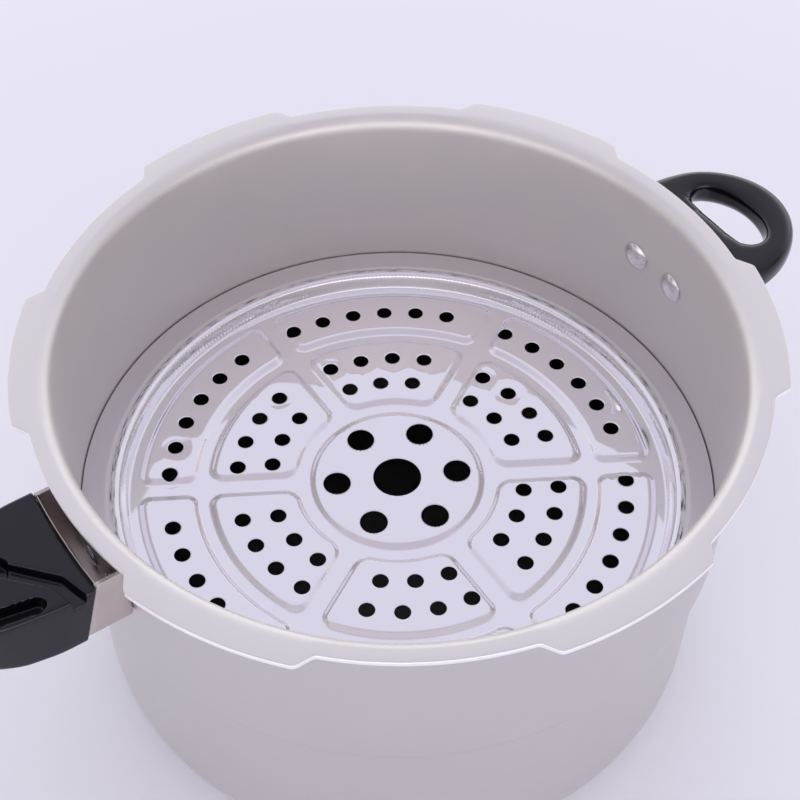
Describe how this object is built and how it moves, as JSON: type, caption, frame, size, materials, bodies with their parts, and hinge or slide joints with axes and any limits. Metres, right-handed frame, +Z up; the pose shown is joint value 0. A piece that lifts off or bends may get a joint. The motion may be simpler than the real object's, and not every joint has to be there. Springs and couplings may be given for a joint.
{
  "type": "pressure canner",
  "caption": "Open aluminium pressure canner pot with a bayonet rim, a lift-out perforated steamer rack, a black long handle and a black helper handle.",
  "frame": {"origin": "centre of the flat base, on the surface that the pot stands on", "axes": "+Z up along the pot's axis, +X towards the long handle"},
  "size_m": [0.608, 0.3584, 0.209],
  "materials": {
    "satin_aluminium": "satin, fine grained, warm light grey",
    "polished_aluminium": "mirror polished sheet",
    "rivet_aluminium": "bright, domed",
    "stainless": "polished stainless sheet",
    "steel": "zinc plated",
    "black_phenolic": "moulded phenolic, satin gloss"
  },
  "bodies": {
    "canner": {"pot_body": "satin_aluminium", "long_handle": "black_phenolic", "handle_bracket": "stainless", "handle_tang": "steel", "handle_rivet_1": "rivet_aluminium", "handle_rivet_2": "rivet_aluminium", "handle_rivet_3": "rivet_aluminium", "tang_rivet_1": "steel", "tang_rivet_2": "steel", "handle_screw_1": "steel", "handle_screw_2": "steel", "handle_washer_1": "steel", "handle_washer_2": "steel", "ear_handle": "black_phenolic", "ear_bracket": "stainless", "ear_rivet_1": "rivet_aluminium", "ear_rivet_2": "rivet_aluminium", "ear_screw_1": "steel", "ear_screw_2": "steel", "ear_washer_1": "steel", "ear_washer_2": "steel"},
    "rack": {"steamer_rack": "polished_aluminium"}
  },
  "joints": [
    {"name": "rack_lift", "type": "slide", "parent": "canner", "child": "rack", "axis": [0, 0, 1], "range_m": [0, 0.046]}
  ]
}
